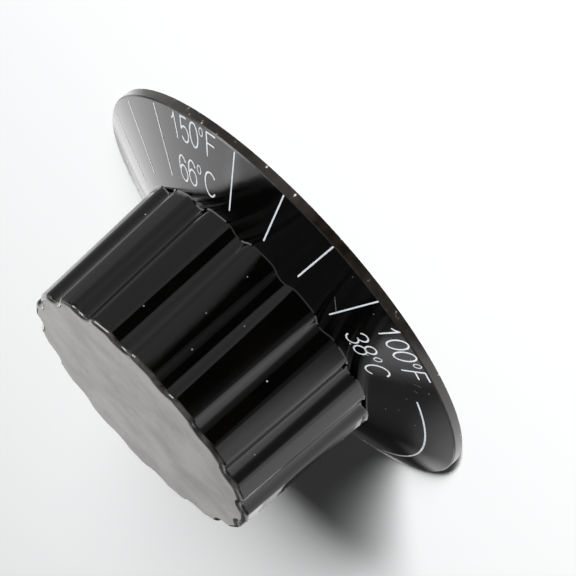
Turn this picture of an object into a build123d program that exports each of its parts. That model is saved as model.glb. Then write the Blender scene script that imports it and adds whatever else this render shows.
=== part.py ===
from build123d import *

import math
import os

# Push-on dial knob: a fluted hollow grip moulded in one with a sloping dial skirt, and its hub spring

# Dial skirt
skirt_diameter = 60.0
skirt_edge_height = 1.25
skirt_slope_deg = 20.0
rim_land_width = 1.2
rim_edge_chamfer = 0.15

# Fluted grip
overall_height = 25.0
grip_root_diameter = 38.2
grip_draft_deg = 1.8
flute_count = 16
flute_depth_per_pitch = 0.113
flute_radius_per_pitch = 0.267
front_edge_radius = 0.7
root_chamfer = 0.12

# Moulded walls and ribs
grip_wall = 2.0
front_wall = 2.4
rib_count = 4
rib_thickness = 1.5
rib_back_height = 9.0

# Hub and its bore: a round mouth, then a flatted length that turns the shaft
hub_diameter = 12.6
hub_recess = 0.6
shaft_diameter = 6.35
shaft_clearance = 0.05
mouth_clearance = 0.4
shaft_flat_height = 5.3
round_mouth_depth = 4.4
bore_depth = 15.0
slit_width = 1.2
slit_depth = 9.0

# Spring ring that closes the split hub on the shaft
ring_thickness = 0.9
ring_width = 1.3
ring_gap_deg = 50.0
ring_groove_depth = 0.7
ring_groove_start = 1.6
ring_side_clearance = 0.05
ring_seat_clearance = 0.02

# Places that follow from the sizes above
skirt_radius = skirt_diameter / 2
skirt_rise = math.tan(math.radians(skirt_slope_deg))
draft_run = math.tan(math.radians(grip_draft_deg))
rim_inner_radius = skirt_radius - rim_land_width
root_radius = grip_root_diameter / 2
flute_pitch = math.pi * grip_root_diameter / flute_count
flute_depth = flute_depth_per_pitch * flute_pitch
flute_radius = flute_radius_per_pitch * flute_pitch
root_height = skirt_edge_height + (skirt_radius - root_radius) * skirt_rise
skirt_inner_radius = root_radius - flute_depth - grip_wall / 2
skirt_inner_height = root_height + (root_radius - skirt_inner_radius) * skirt_rise
grip_base_height = (rim_inner_radius - root_radius) * skirt_rise
base_radius = root_radius + (root_height - grip_base_height) * draft_run
flute_centre_radius = base_radius - flute_depth + flute_radius
hollow_height = overall_height - front_wall
hub_radius = hub_diameter / 2
bore_radius = shaft_diameter / 2 + shaft_clearance
mouth_radius = shaft_diameter / 2 + mouth_clearance
flat_offset = shaft_flat_height - shaft_diameter / 2 + shaft_clearance
groove_radius = hub_radius - ring_groove_depth
groove_width = ring_width + 2 * ring_side_clearance
groove_middle_height = hub_recess + ring_groove_start + groove_width / 2
ring_middle_radius = groove_radius + ring_seat_clearance + ring_thickness / 2


def hollow_radius(height):
    """Inside radius of the grip: one wall behind the bottom of the flutes, with the same draft."""
    return base_radius - (height - grip_base_height) * draft_run - flute_depth - grip_wall


def is_grip_root(edge):
    """True for the edges of the skirt's face that run round the foot of the grip."""
    middle = edge.position_at(0.5)
    return math.hypot(middle.X, middle.Y) < base_radius


# Where the sloping underside of the skirt meets the drafted inside of the grip
underside_height = (rim_inner_radius - hollow_radius(0)) * skirt_rise / (1 - draft_run * skirt_rise)

# The ribs start inside the hub and end inside the grip's wall
rib_start_radius = (mouth_radius + hub_radius) / 2
rib_length = hollow_radius(rib_back_height) + grip_wall / 2 - rib_start_radius

# Knob body: grip, skirt, hub and ribs in one moulding
with BuildPart() as knob_body:
    # Grip with round flutes between lands, drafted towards a rounded front edge
    with BuildSketch(Plane.XY.offset(grip_base_height)) as grip_outline:
        Circle(base_radius)
        with PolarLocations(flute_centre_radius, flute_count, start_angle=180 / flute_count):
            Circle(flute_radius, mode=Mode.SUBTRACT)
        fillet(grip_outline.vertices(), flute_radius)
    extrude(amount=overall_height - grip_base_height, taper=grip_draft_deg)
    fillet(knob_body.faces().sort_by(Axis.Z)[-1].edges(), front_edge_radius)

    # Sloping dial skirt with an upright edge
    with BuildSketch(Plane.XZ):
        with BuildLine():
            Polyline(
                (0, 0),
                (skirt_radius, 0),
                (skirt_radius, skirt_edge_height),
                (skirt_inner_radius, skirt_inner_height),
                (0, skirt_inner_height),
                close=True,
            )
        make_face()
    revolve(axis=Axis.Z)
    skirt_face = knob_body.faces().filter_by(GeomType.CONE).sort_by(SortBy.AREA)[-1]
    chamfer(skirt_face.edges().filter_by(is_grip_root), root_chamfer)
    rim_edges = knob_body.edges().filter_by(GeomType.CIRCLE).sort_by(SortBy.RADIUS)[-2:]
    chamfer(rim_edges.sort_by(Axis.Z)[-1], rim_edge_chamfer)

    # Hollow back, under the skirt and up into the grip
    with BuildSketch(Plane.XZ):
        with BuildLine():
            Polyline(
                (0, 0),
                (rim_inner_radius, 0),
                (hollow_radius(underside_height), underside_height),
                (hollow_radius(hollow_height), hollow_height),
                (0, hollow_height),
                close=True,
            )
        make_face()
    revolve(axis=Axis.Z, mode=Mode.SUBTRACT)

    # Hub on the inside of the front wall, with ribs out to the grip
    with BuildSketch(Plane.XY.offset(hub_recess)):
        Circle(hub_radius)
    extrude(amount=hollow_height - hub_recess)
    with BuildSketch(Plane.XY.offset(rib_back_height)):
        with PolarLocations(rib_start_radius, rib_count, start_angle=180 / rib_count):
            Rectangle(rib_length, rib_thickness, align=(Align.MIN, Align.CENTER))
    extrude(amount=hollow_height - rib_back_height)

    # Bore with a round mouth, and a flat beside the shaft further in
    with BuildSketch(Plane.XY.offset(hub_recess)):
        Circle(bore_radius)
        with Locations((0, flat_offset + bore_radius)):
            Rectangle(2 * bore_radius, 2 * bore_radius, mode=Mode.SUBTRACT)
    extrude(amount=bore_depth, mode=Mode.SUBTRACT)
    with BuildSketch(Plane.XY.offset(hub_recess)):
        Circle(mouth_radius)
    extrude(amount=round_mouth_depth, mode=Mode.SUBTRACT)

    # Slits that let the hub close, and the groove that keeps the ring on it
    with BuildSketch(Plane.XY.offset(hub_recess)):
        Rectangle(hub_diameter, slit_width)
    extrude(amount=slit_depth, mode=Mode.SUBTRACT)
    with BuildSketch(Plane.XZ):
        with Locations((groove_radius + ring_groove_depth, groove_middle_height)):
            Rectangle(2 * ring_groove_depth, groove_width)
    revolve(axis=Axis.Z, mode=Mode.SUBTRACT)

# Spring ring: a flat steel band bent to an open ring, seated in the hub's groove
with BuildPart() as hub_spring_ring:
    with BuildSketch(Plane.XZ):
        with Locations((ring_middle_radius, groove_middle_height)):
            Rectangle(ring_thickness, ring_width)
    revolve(axis=Axis.Z, revolution_arc=360 - ring_gap_deg)

os.makedirs("parts", exist_ok=True)
knob_body.part.label = "knob_body"
export_step(knob_body.part, "parts/knob_body.step")
hub_spring_ring.part.label = "hub_spring_ring"
export_step(hub_spring_ring.part, "parts/hub_spring_ring.step")
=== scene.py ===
"""A black dial knob with white degree marks, on a pale floor, seen as in the photograph."""

import math

import bmesh
import bpy
from mathutils import Matrix, Quaternion, Vector


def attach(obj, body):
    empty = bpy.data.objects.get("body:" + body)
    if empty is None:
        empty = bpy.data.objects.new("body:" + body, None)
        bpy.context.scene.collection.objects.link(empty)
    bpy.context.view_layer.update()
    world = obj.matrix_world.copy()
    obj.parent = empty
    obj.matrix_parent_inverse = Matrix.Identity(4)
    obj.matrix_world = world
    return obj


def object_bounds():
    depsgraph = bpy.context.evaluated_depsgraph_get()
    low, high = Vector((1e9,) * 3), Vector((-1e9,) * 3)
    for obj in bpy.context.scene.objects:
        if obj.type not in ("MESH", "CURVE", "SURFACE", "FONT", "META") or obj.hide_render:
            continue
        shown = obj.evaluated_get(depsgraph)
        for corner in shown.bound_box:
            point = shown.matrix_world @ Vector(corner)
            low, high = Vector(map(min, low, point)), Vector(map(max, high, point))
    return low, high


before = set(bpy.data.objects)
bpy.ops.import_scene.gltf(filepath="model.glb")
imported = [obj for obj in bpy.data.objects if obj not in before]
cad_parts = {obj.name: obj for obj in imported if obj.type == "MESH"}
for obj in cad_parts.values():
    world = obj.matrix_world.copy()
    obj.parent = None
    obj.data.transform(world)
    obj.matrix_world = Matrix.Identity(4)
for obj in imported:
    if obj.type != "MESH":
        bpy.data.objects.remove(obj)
cad_low, cad_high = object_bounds()

MM = 0.001

# The knob's sizes, in millimetres
skirt_radius = cad_high.x / MM
front_height = cad_high.z / MM
grip_radius = 19.1
front_edge_radius = 0.7
skirt_edge_height = 1.25
skirt_slope = math.radians(20)

# The photograph's view: square picture, long lens, camera rolled to the knob's lean
photo_side = 576
focal_px = 4233.8
view_azimuth = math.radians(-12.45)
view_elevation = math.radians(14.64)
view_roll = math.radians(-131.91)
view_distance = 515.1
skirt_centre_px = (280.8, 286.1)

# The dial's print
print_lift = 0.02
print_offset = 0.4
print_offset_angle = math.radians(-120)
tick_inner = 20.85
tick_outer = 29.45
tick_width = 0.22
cap_height = 3.2
stroke_width = 0.23
fahrenheit_baseline = 26.2
celsius_baseline = 20.85
degree_pen = 0.6
label_shift_deg = -0.35
celsius_shift_deg = {100: -0.95, 150: 0.35}
digit_advance = 0.6
degree_advance = 0.43
hundred_deg = -135.7
ten_degrees_deg = 16.1
off_deg = 128.0
off_line_radius = 26.1
off_line_start_deg = 142.0
off_line_end_deg = 204.6
print_flaw = (21.2, -132.0)

# Wear on the skirt, as radius and angle in degrees: short scratches and specks of dust
scratches = [
    ((24.0, -114.8), (22.6, -119.1)),
    ((27.2, -146.6), (28.0, -147.4)),
    ((26.8, -149.7), (27.1, -150.3)),
]
specks = [
    (25.1, -154.7), (21.6, -165.5), (23.4, -162.8), (25.2, -168.9),
    (28.7, -149.5), (27.8, -122.6), (29.0, -111.9),
]
scratch_width = 0.07
speck_width = 0.16

# Painted reflection: greys that the table glows with only in the knob's gloss, by angle in degrees: black
# at the camera, grey on the right, white behind, and the knob's own shadow painted between that and the
# white on the left
painted_table_reflection_greys = [
    (-180, 1.2), (-165, 1.2), (-157, 0.5), (-149, 0.22), (-127, 0.12), (-122, 0.0),
    (-83, 0.0), (-80, 0.5), (-70, 0.6), (-50, 0.45), (5, 0.42), (22, 0.54),
    (40, 0.68), (47, 1.0), (62, 1.1), (72, 1.3), (80, 0.05), (119, 0.06),
    (149, 1.0), (165, 1.2),
]

# The table, which turns white far off, and the fill from the room
floor_radius = 6000.0
floor_glow = 0.01
backdrop_start = 300.0
backdrop_full = 1500.0
room_fill = 0.02

# Painted reflection of the table close to the rim, which only the rim's edge shows: greys by angle, with
# the table's shadow painted in as black and its lit parts painted brighter than white
close_radius = 38.0
painted_rim_table_reflection_greys = [
    (-180, 1.6), (-141, 1.9), (-133, 0.25), (-116, 0.3), (-108, 0.0), (-97, 0.0),
    (-89, 0.8), (-80, 0.8), (-72, 0.4), (-58, 0.45), (-46, 0.9), (-30, 0.8),
    (-18, 2.2), (60, 0.1), (119, 0.05), (127, 1.0), (180, 1.6),
]


def polar(angle, elevation, distance):
    """A point in millimetres, from its angle round the axis, elevation and distance."""
    flat = distance * math.cos(elevation)
    return Vector((flat * math.cos(angle), flat * math.sin(angle), distance * math.sin(elevation)))


def cone_point(radius, angle, lift):
    """A point in metres on the skirt's sloping face, raised square to it."""
    height = skirt_edge_height + (skirt_radius - radius) * math.tan(skirt_slope)
    radius += lift * math.sin(skirt_slope)
    height += lift * math.cos(skirt_slope)
    return Vector((radius * math.cos(angle), radius * math.sin(angle), height)) * MM


def dial_point(radius, angle):
    """A point of the print, which sits a little off the dial's centre."""
    x = radius * math.cos(angle) + print_offset * math.cos(print_offset_angle)
    y = radius * math.sin(angle) + print_offset * math.sin(print_offset_angle)
    return cone_point(math.hypot(x, y), math.atan2(y, x), print_lift)


# Node helpers


def new_material(name):
    material = bpy.data.materials.new(name)
    material.use_nodes = True
    tree = material.node_tree
    return material, tree, tree.nodes["Principled BSDF"]


def noise(tree, scale, detail=3.0, roughness=0.5, stretch=None):
    """Noise in object space, in cycles per metre, stretched along an axis if asked."""
    coordinates = tree.nodes.new("ShaderNodeTexCoord")
    texture = tree.nodes.new("ShaderNodeTexNoise")
    texture.inputs["Scale"].default_value = scale
    texture.inputs["Detail"].default_value = detail
    texture.inputs["Roughness"].default_value = roughness
    source = coordinates.outputs["Object"]
    if stretch:
        mapping = tree.nodes.new("ShaderNodeMapping")
        mapping.inputs["Scale"].default_value = stretch
        tree.links.new(source, mapping.inputs["Vector"])
        source = mapping.outputs["Vector"]
    tree.links.new(source, texture.inputs["Vector"])
    return texture.outputs["Fac"]


def ramp(tree, source, stops):
    """A colour ramp over a factor, from (position, colour) stops."""
    node = tree.nodes.new("ShaderNodeValToRGB")
    elements = node.color_ramp.elements
    while len(elements) < len(stops):
        elements.new(1.0)
    for element, (position, colour) in zip(elements, stops):
        element.position = position
        element.color = (*colour, 1.0)
    tree.links.new(source, node.inputs["Fac"])
    return node.outputs["Color"]


def span(tree, source, low, high, to_low, to_high):
    """A factor mapped from one range to another, clamped."""
    node = tree.nodes.new("ShaderNodeMapRange")
    for socket, value in zip(("From Min", "From Max", "To Min", "To Max"), (low, high, to_low, to_high)):
        node.inputs[socket].default_value = value
    tree.links.new(source, node.inputs["Value"])
    return node.outputs["Result"]


def math_node(tree, operation, first, second):
    node = tree.nodes.new("ShaderNodeMath")
    node.operation = operation
    node.use_clamp = True
    for socket, value in zip(node.inputs, (first, second)):
        if isinstance(value, (int, float)):
            socket.default_value = value
        else:
            tree.links.new(value, socket)
    return node.outputs["Value"]


def mix_colour(tree, factor, first, second):
    """A mix of two colours by a factor; the second may be a plain colour."""
    node = tree.nodes.new("ShaderNodeMix")
    node.data_type = "RGBA"
    tree.links.new(factor, node.inputs["Factor"])
    tree.links.new(first, node.inputs[6])
    if isinstance(second, tuple):
        node.inputs[7].default_value = (*second, 1)
    else:
        tree.links.new(second, node.inputs[7])
    return node.outputs[2]


def length_of(tree, vector):
    node = tree.nodes.new("ShaderNodeVectorMath")
    node.operation = "LENGTH"
    tree.links.new(vector, node.inputs[0])
    return node.outputs["Value"]


def bump(tree, height, strength, distance):
    node = tree.nodes.new("ShaderNodeBump")
    node.inputs["Strength"].default_value = strength
    node.inputs["Distance"].default_value = distance
    tree.links.new(height, node.inputs["Height"])
    return node.outputs["Normal"]


# Materials


def knob_plastic():
    """Glossy black moulding with dust, a scuffed front face, a duller front edge with a lighter grey
    painted reflection on it, and a rubbed brown rim.
    """
    material, tree, shader = new_material("knob_plastic")
    links = tree.links
    coordinates = tree.nodes.new("ShaderNodeTexCoord")
    axes = tree.nodes.new("ShaderNodeSeparateXYZ")
    links.new(coordinates.outputs["Object"], axes.inputs["Vector"])
    flat = tree.nodes.new("ShaderNodeCombineXYZ")
    links.new(axes.outputs["X"], flat.inputs["X"])
    links.new(axes.outputs["Y"], flat.inputs["Y"])
    from_axis = length_of(tree, flat.outputs["Vector"])
    height = axes.outputs["Z"]

    def zone(source, start, end):
        """A factor that rises from 0 to 1 over a stretch in millimetres."""
        return span(tree, source, start * MM, end * MM, 0, 1)

    rim = zone(from_axis, skirt_radius - 0.17, skirt_radius - 0.12)
    skirt = zone(from_axis, grip_radius + 0.2, grip_radius + 0.4)
    edge = zone(height, front_height - front_edge_radius, front_height - 0.5)
    face = zone(height, front_height - 0.12, front_height - 0.02)
    cells = tree.nodes.new("ShaderNodeTexVoronoi")
    cells.inputs["Scale"].default_value = 420
    links.new(coordinates.outputs["Object"], cells.inputs["Vector"])
    grain = span(tree, cells.outputs["Distance"], 0.02, 0.06, 1, 0)
    some = span(tree, noise(tree, 240, 2), 0.46, 0.52, 0, 1)
    dust = math_node(tree, "MULTIPLY", grain, some)

    moulding = [(0.3, (0.0005, 0.0005, 0.0005)), (0.7, (0.0014, 0.0012, 0.001))]
    rubbed = [(0.35, (0.0036, 0.0026, 0.0018)), (0.68, (0.013, 0.0092, 0.0066)), (0.74, (0.6, 0.54, 0.5))]
    # Painted reflection: a lighter grey on the front edge's rounding, in place of the grey that the edge
    # reflects
    edge_painted_reflection = [(0.35, (0.01, 0.0095, 0.009)), (0.65, (0.045, 0.043, 0.04))]
    cloudy = [(0.38, (0.012, 0.012, 0.0115)), (0.62, (0.15, 0.147, 0.143))]
    grey = [(0.4, (0.05, 0.049, 0.048)), (0.7, (0.87, 0.855, 0.84))]
    colour = ramp(tree, noise(tree, 160, 4), moulding)
    colour = mix_colour(tree, rim, colour, ramp(tree, noise(tree, 900, 4), rubbed))
    # Paints the lighter grey reflection onto the front edge's rounding
    colour = mix_colour(tree, edge, colour, ramp(tree, noise(tree, 700, 3), edge_painted_reflection))
    colour = mix_colour(tree, face, colour, ramp(tree, noise(tree, 160, 4, 0.6), cloudy))
    colour = mix_colour(tree, dust, colour, ramp(tree, noise(tree, 500, 2), grey))
    links.new(colour, shader.inputs["Base Color"])

    sheen = span(tree, noise(tree, 300, 6, 0.65), 0.3, 0.7, 0.03, 0.08)
    dull = math_node(tree, "ADD", sheen, math_node(tree, "MULTIPLY", skirt, 0.06))
    rounded = math_node(tree, "SUBTRACT", edge, face)
    for place, roughness in ((face, 0.1), (rounded, 0.2), (rim, 0.3), (dust, 0.8)):
        dull = math_node(tree, "MAXIMUM", dull, math_node(tree, "MULTIPLY", place, roughness))
    links.new(dull, shader.inputs["Roughness"])
    shader.inputs["IOR"].default_value = 1.5
    links.new(bump(tree, noise(tree, 420, 4, 0.55), 0.05, 0.0002), shader.inputs["Normal"])
    return material


def spring_steel():
    """Bright rolled band, with fine lines along it and a little oil stain."""
    material, tree, shader = new_material("spring_steel")
    rolled = noise(tree, 2200, 3, 0.6, (0.15, 0.15, 3.0))
    stain = noise(tree, 300, 4)
    tint = ramp(tree, stain, [(0.35, (0.42, 0.40, 0.37)), (0.65, (0.62, 0.62, 0.63))])
    tree.links.new(tint, shader.inputs["Base Color"])
    shader.inputs["Metallic"].default_value = 1.0
    tree.links.new(span(tree, rolled, 0.3, 0.7, 0.18, 0.36), shader.inputs["Roughness"])
    tree.links.new(bump(tree, rolled, 0.2, 0.00005), shader.inputs["Normal"])
    return material


def dial_ink():
    """White pad print, a little thin in places."""
    material, tree, shader = new_material("dial_print")
    cover = noise(tree, 1500, 4, 0.6)
    tint = ramp(tree, cover, [(0.3, (0.73, 0.765, 0.81)), (0.6, (0.85, 0.895, 0.95))])
    tree.links.new(tint, shader.inputs["Base Color"])
    tree.links.new(span(tree, cover, 0.3, 0.7, 0.2, 0.35), shader.inputs["Roughness"])
    tree.links.new(bump(tree, cover, 0.1, 0.00002), shader.inputs["Normal"])
    return material


def dust_grey():
    """Dull grey of dust and light scratches."""
    material, tree, shader = new_material("dust_grey")
    patchy = noise(tree, 2500, 3)
    tint = ramp(tree, patchy, [(0.35, (0.087, 0.084, 0.08)), (0.65, (0.28, 0.27, 0.26))])
    tree.links.new(tint, shader.inputs["Base Color"])
    tree.links.new(span(tree, patchy, 0.3, 0.7, 0.6, 0.8), shader.inputs["Roughness"])
    return material


def pale_floor():
    """Plain white table for the camera. In the knob's gloss it glows instead as a ring of greys: a
    painted reflection, with painted shadow in it.
    """
    material, tree, shader = new_material("pale_floor")
    links = tree.links
    seen = tree.nodes.new("ShaderNodeLightPath")
    in_gloss = seen.outputs["Is Glossy Ray"]
    coordinates = tree.nodes.new("ShaderNodeTexCoord")
    around = tree.nodes.new("ShaderNodeTexGradient")
    around.gradient_type = "RADIAL"
    links.new(coordinates.outputs["Object"], around.inputs["Vector"])
    from_axis = length_of(tree, coordinates.outputs["Object"])

    def ring(greys):
        """Greys by angle, as a colour ramp over the turn."""
        return ramp(tree, around.outputs["Fac"], [(0.5 + angle / 360, (v, v, v)) for angle, v in greys])

    tint = ramp(tree, noise(tree, 6, 3), [(0.3, (0.93, 0.94, 0.945)), (0.7, (0.95, 0.955, 0.96))])
    beyond = span(tree, from_axis, (close_radius - 1) * MM, (close_radius + 1) * MM, 0, 1)
    # Painted reflection and painted shadow: the glowing greys that the table shows in gloss, near the rim
    # and further out
    gloss_painted_greys = mix_colour(tree, beyond, ring(painted_rim_table_reflection_greys), ring(painted_table_reflection_greys))
    # In gloss the table's own colour goes black and the painted greys glow in its place
    links.new(mix_colour(tree, in_gloss, tint, (0, 0, 0)), shader.inputs["Base Color"])
    links.new(mix_colour(tree, in_gloss, tint, gloss_painted_greys), shader.inputs["Emission Color"])
    glow = span(tree, from_axis, backdrop_start * MM, backdrop_full * MM, floor_glow, 1)
    glow = math_node(tree, "MULTIPLY", seen.outputs["Is Camera Ray"], glow)
    links.new(math_node(tree, "ADD", glow, in_gloss), shader.inputs["Emission Strength"])
    shader.inputs["Roughness"].default_value = 0.7
    shader.inputs["Specular IOR Level"].default_value = 0.0
    return material


# The dial's figures as pen strokes, in shares of the cap height


def bend(x, y, across, up, start_deg, end_deg):
    """Part of an oval, from one angle to another."""
    count = max(6, round(abs(end_deg - start_deg) / 9))
    angles = [math.radians(start_deg + (end_deg - start_deg) * i / count) for i in range(count + 1)]
    return [(x + across * math.cos(a), y + up * math.sin(a)) for a in angles]


six = [bend(0.235, 0.31, 0.225, 0.31, 0, 360), bend(0.245, 0.5, 0.235, 0.5, 35, 195)]

strokes = {
    "0": [bend(0.24, 0.5, 0.24, 0.5, 0, 360)],
    "1": [[(0.06, 0.74), (0.16, 0.83), (0.24, 1.0)], [(0.24, 1.0), (0.24, 0.0)]],
    "2": [bend(0.23, 0.75, 0.22, 0.25, 170, -40) + [(0.0, 0.0)], [(0.0, 0.0), (0.47, 0.0)]],
    "3": [bend(0.22, 0.76, 0.2, 0.24, 165, -90), bend(0.22, 0.26, 0.25, 0.26, 90, -165)],
    "5": [[(0.42, 1.0), (0.08, 1.0)], [(0.08, 1.0), (0.03, 0.5)],
          bend(0.23, 0.31, 0.23, 0.31, 140, -155)],
    "6": six,
    "8": [bend(0.235, 0.755, 0.19, 0.245, 0, 360), bend(0.235, 0.265, 0.235, 0.265, 0, 360)],
    "9": [[(0.47 - x, 1 - y) for x, y in stroke] for stroke in six],
    "C": [bend(0.31, 0.5, 0.31, 0.5, 42, 318)],
    "F": [[(0.0, 0.0), (0.0, 1.0)], [(0.0, 1.0), (0.46, 1.0)], [(0.0, 0.55), (0.41, 0.55)]],
    "O": [bend(0.33, 0.5, 0.33, 0.5, 0, 360)],
    "d": [bend(0.1, 0.82, 0.1, 0.17, 0, 360)],
}
advance = {"d": degree_advance, "C": 0.62, "F": 0.6, "O": 0.86}


def pen_line(mesh, points, width, place):
    """A flat stroke with round ends along a list of points."""
    half = width / 2
    points = [Vector(p) for p in points]
    closed = (points[0] - points[-1]).length < width * 0.01
    rows = []
    for i, point in enumerate(points):
        before = points[max(i - 1, 0)]
        after = points[min(i + 1, len(points) - 1)]
        if closed and i in (0, len(points) - 1):
            before, after = points[-2], points[1]
        along = (after - before).normalized()
        across = Vector((-along.y, along.x)) * half
        rows.append([mesh.verts.new(place(*(point + across))), mesh.verts.new(place(*(point - across)))])
    for one, two in zip(rows, rows[1:]):
        mesh.faces.new((one[0], one[1], two[1], two[0]))
    if closed:
        return
    for end, inner, row in ((points[0], points[1], rows[0][::-1]), (points[-1], points[-2], rows[-1])):
        out = (end - inner).normalized() * half
        side = Vector((-out.y, out.x))
        cap = [mesh.verts.new(place(*(end + side * math.cos(t) + out * math.sin(t))))
               for t in (math.pi * k / 6 for k in range(1, 6))]
        mesh.faces.new((row[0], row[1], *reversed(cap)))


def dot(mesh, radius, angle_deg, width):
    """A small round spot on the skirt."""
    angle = math.radians(angle_deg)
    ring = []
    for turn in (math.pi * k / 5 for k in range(10)):
        out = width / 2 * math.cos(turn)
        aside = width / 2 * math.sin(turn) / radius
        ring.append(mesh.verts.new(cone_point(radius + out, angle + aside, print_lift)))
    mesh.faces.new(ring)


def add_marks(name, mesh, material):
    """Puts a mesh of flat marks on the knob, with every face outward."""
    bmesh.ops.recalc_face_normals(mesh, faces=mesh.faces)
    for face in mesh.faces:
        if face.normal.z < 0:
            face.normal_flip()
    data = bpy.data.meshes.new(name)
    mesh.to_mesh(data)
    mesh.free()
    piece = bpy.data.objects.new(name, data)
    bpy.context.scene.collection.objects.link(piece)
    data.materials.append(material)
    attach(piece, "root")


def letter_line(mesh, text, angle_deg, baseline):
    """A line of figures round the dial, tops outward, centred on an angle."""
    middle = baseline + cap_height / 2
    last_width = max(x for stroke in strokes[text[-1]] for x, y in stroke)
    start = -(sum(advance.get(c, digit_advance) for c in text[:-1]) + last_width) / 2

    def place(x, y):
        return dial_point(baseline + y, math.radians(angle_deg + label_shift_deg) - x / middle)

    for character in text:
        width = stroke_width * (degree_pen if character == "d" else 1)
        for stroke in strokes[character]:
            points = [((start + x) * cap_height, y * cap_height) for x, y in stroke]
            pen_line(mesh, points, width, place)
        start += advance.get(character, digit_advance)


def tick(mesh, angle):
    """A straight mark across the dial."""

    def place(x, y):
        return dial_point(x, angle + y / x)

    pen_line(mesh, [(tick_inner, 0), (tick_outer, 0)], tick_width, place)


def off_line(mesh):
    """The long line round the dial, from OFF to the lowest mark."""

    def place(x, y):
        return dial_point(off_line_radius + y, x / off_line_radius)

    steps = 40
    step_deg = (off_line_end_deg - off_line_start_deg) / steps
    turns = [math.radians(off_line_start_deg + step_deg * i) for i in range(steps + 1)]
    pen_line(mesh, [(turn * off_line_radius, 0) for turn in turns], stroke_width, place)


def dial_print():
    """All the marks of the dial in one mesh: figures, ticks and the line past the lowest mark."""
    mesh = bmesh.new()
    for fahrenheit in range(100, 260, 10):
        angle_deg = hundred_deg + (fahrenheit - 100) / 10 * ten_degrees_deg
        if fahrenheit % 50:
            tick(mesh, math.radians(angle_deg))
        else:
            celsius = round((fahrenheit - 32) * 5 / 9)
            letter_line(mesh, f"{fahrenheit}dF", angle_deg, fahrenheit_baseline)
            celsius_deg = angle_deg + celsius_shift_deg.get(fahrenheit, 0)
            letter_line(mesh, f"{celsius}dC", celsius_deg, celsius_baseline)
    letter_line(mesh, "OFF", off_deg, fahrenheit_baseline)
    off_line(mesh)
    dot(mesh, *print_flaw, stroke_width)
    add_marks("dial_print", mesh, dial_ink())


def wear():
    """The scratches and specks on the skirt, in one mesh."""
    mesh = bmesh.new()

    def place(x, y):
        return cone_point(math.hypot(x, y), math.atan2(y, x), print_lift)

    for ends in scratches:
        points = [(r * math.cos(math.radians(a)), r * math.sin(math.radians(a))) for r, a in ends]
        pen_line(mesh, points, scratch_width, place)
    for radius, angle_deg in specks:
        dot(mesh, radius, angle_deg, speck_width)
    add_marks("wear", mesh, dust_grey())


# Studio


def area_light(name, angle_deg, elevation_deg, distance, width, height, radiance,
               card=True, roll_deg=0, fades=None, tint=(1.0, 1.0, 1.0)):
    """A soft box on matt surfaces, or a card that shows only in gloss. Fades dim it along its sides."""
    data = bpy.data.lights.new(name, "AREA")
    data.shape = "RECTANGLE"
    data.size = width * MM
    data.size_y = height * MM
    data.energy = radiance * math.pi * data.size * data.size_y
    if fades:
        data.use_nodes = True
        tree = data.node_tree
        place_on = tree.nodes.new("ShaderNodeNewGeometry")
        across = tree.nodes.new("ShaderNodeSeparateXYZ")
        tree.links.new(place_on.outputs["Parametric"], across.inputs["Vector"])
        level = 1.0
        for side, stretch in fades.items():
            level = math_node(tree, "MULTIPLY", span(tree, across.outputs[side], *stretch), level)
        tree.links.new(level, tree.nodes["Emission"].inputs["Strength"])
    lamp = bpy.data.objects.new(name, data)
    target = Vector((0, 0, front_height / 2))
    place = target + polar(math.radians(angle_deg), math.radians(elevation_deg), distance)
    turn = (target - place).to_track_quat("-Z", "Y") @ Quaternion((0, 0, 1), math.radians(roll_deg))
    lamp.location = place * MM
    lamp.rotation_euler = turn.to_euler()
    lamp.visible_camera = False
    lamp.visible_diffuse = not card
    lamp.visible_glossy = card
    data.color = tint
    bpy.context.scene.collection.objects.link(lamp)
    return lamp


def link_light(lamp, piece, state):
    """Has a lamp light one piece only, with INCLUDE, or all but that piece, with EXCLUDE."""
    group = bpy.data.collections.new(lamp.name)
    group.objects.link(piece)
    group.collection_objects[0].light_linking.link_state = state
    lamp.light_linking.receiver_collection = group


def floor():
    mesh = bmesh.new()
    bmesh.ops.create_circle(mesh, cap_ends=True, segments=96, radius=floor_radius * MM)
    data = bpy.data.meshes.new("floor")
    mesh.to_mesh(data)
    mesh.free()
    piece = bpy.data.objects.new("floor", data)
    bpy.context.scene.collection.objects.link(piece)
    data.materials.append(pale_floor())
    return piece


def white_room(fill):
    """A white background for the camera, and a weaker even fill for everything else."""
    world = bpy.data.worlds.new("room")
    bpy.context.scene.world = world
    world.use_nodes = True
    tree = world.node_tree
    soft = tree.nodes["Background"]
    soft.inputs["Color"].default_value = (1, 1, 1, 1)
    soft.inputs["Strength"].default_value = fill
    white = tree.nodes.new("ShaderNodeBackground")
    white.inputs["Color"].default_value = (1, 1, 1, 1)
    white.inputs["Strength"].default_value = 1.0
    seen = tree.nodes.new("ShaderNodeLightPath")
    mix = tree.nodes.new("ShaderNodeMixShader")
    tree.links.new(seen.outputs["Is Camera Ray"], mix.inputs["Fac"])
    tree.links.new(soft.outputs["Background"], mix.inputs[1])
    tree.links.new(white.outputs["Background"], mix.inputs[2])
    tree.links.new(mix.outputs["Shader"], tree.nodes["World Output"].inputs["Surface"])


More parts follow.
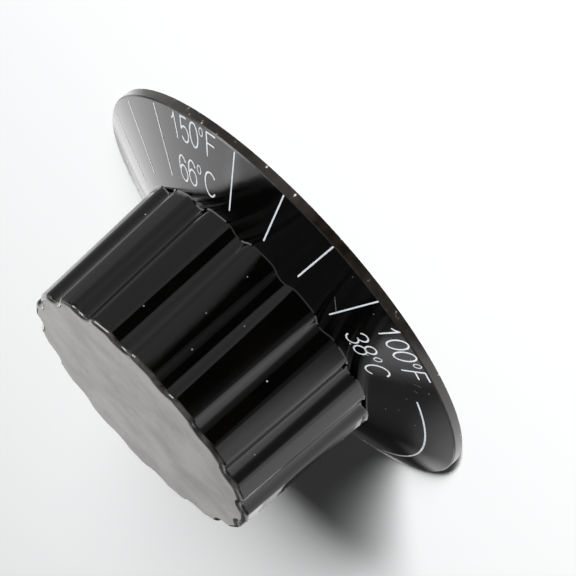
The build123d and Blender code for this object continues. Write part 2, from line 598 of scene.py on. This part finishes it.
def camera():
    """The photograph's camera: aimed so that the skirt's centre lands where it does there."""
    data = bpy.data.cameras.new("camera")
    data.lens = focal_px * data.sensor_width / photo_side
    data.clip_start = 0.01
    data.clip_end = 50
    piece = bpy.data.objects.new("camera", data)
    target = Vector((0, 0, skirt_edge_height))
    place = target + polar(view_azimuth - math.pi / 2, view_elevation, view_distance)
    forward = (target - place).normalized()
    level = forward.cross(Vector((0, 0, 1))).normalized()
    upright = level.cross(forward)
    right = level * math.cos(view_roll) + upright * math.sin(view_roll)
    up = upright * math.cos(view_roll) - level * math.sin(view_roll)
    across_px = skirt_centre_px[0] - photo_side / 2
    down_px = skirt_centre_px[1] - photo_side / 2
    forward = (forward - right * across_px / focal_px + up * down_px / focal_px).normalized()
    right = (right - forward * right.dot(forward)).normalized()
    up = right.cross(forward)
    turn = Matrix((right, up, -forward)).transposed()
    piece.matrix_world = Matrix.Translation(place * MM) @ turn.to_4x4()
    bpy.context.scene.collection.objects.link(piece)
    bpy.context.scene.camera = piece


def dress(node, material):
    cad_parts[node].data.materials.clear()
    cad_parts[node].data.materials.append(material)


camera()
table = floor()
white_room(room_fill)

# Each lamp: angle and elevation in degrees, distance, width and height in millimetres, radiance
key = area_light("key", -83, 17, 4000, 1000, 1000, 71, card=False)
back_fill = area_light("back_fill", 100, 40, 4000, 1000, 1000, 30, card=False)
table_key = area_light("table_key", -89, 13, 4000, 1700, 450, 295, card=False, roll_deg=56)
link_light(key, table, "EXCLUDE")
link_light(back_fill, table, "EXCLUDE")
link_light(table_key, table, "INCLUDE")

# Cards, which may fade along X or Y: start, end, first level, last level
area_light("right_rim_card", 1, 34, 600, 560, 105, 2.3, roll_deg=-30)
area_light("left_rim_card", 150, 33, 600, 610, 105, 1.4, roll_deg=32)
area_light("edge_card", -35, 31, 600, 320, 170, 14.0)
area_light("back_card", 53, 23, 640, 400, 580, 1.75)
area_light("high_card", 61, 51, 600, 80, 110, 1.2)
area_light("front_card", 78, 15, 620, 110, 300, 1.15,
           fades={"X": (0.0, 1.0, 1.0, 0.6)}, tint=(1.0, 0.985, 0.96))
area_light("patch_card", 96, 43.7, 600, 160, 105, 1.1, fades={"Y": (0.0, 0.6, 0.07, 1.0)})
area_light("wall_card", 94, 25.3, 600, 212, 284, 0.1, fades={"Y": (0.0, 0.65, 0.0, 1.0)})
area_light("left_card", 129.3, 18, 82, 44, 120, 1.0, roll_deg=-30, fades={"X": (0.0, 0.38, 0.0, 1.0)})
area_light("low_card", 119.3, 0.4, 83, 44, 14, 0.6,
           fades={"X": (0.0, 0.1, 0.0, 1.0), "Y": (0.15, 1.0, 1.0, 0.0)})
area_light("ceiling_card", -102, 72, 500, 700, 340, 0.6)

dress("knob_body", knob_plastic())
dress("hub_spring_ring", spring_steel())
dial_print()
wear()

bpy.context.scene.view_settings.view_transform = "Standard"
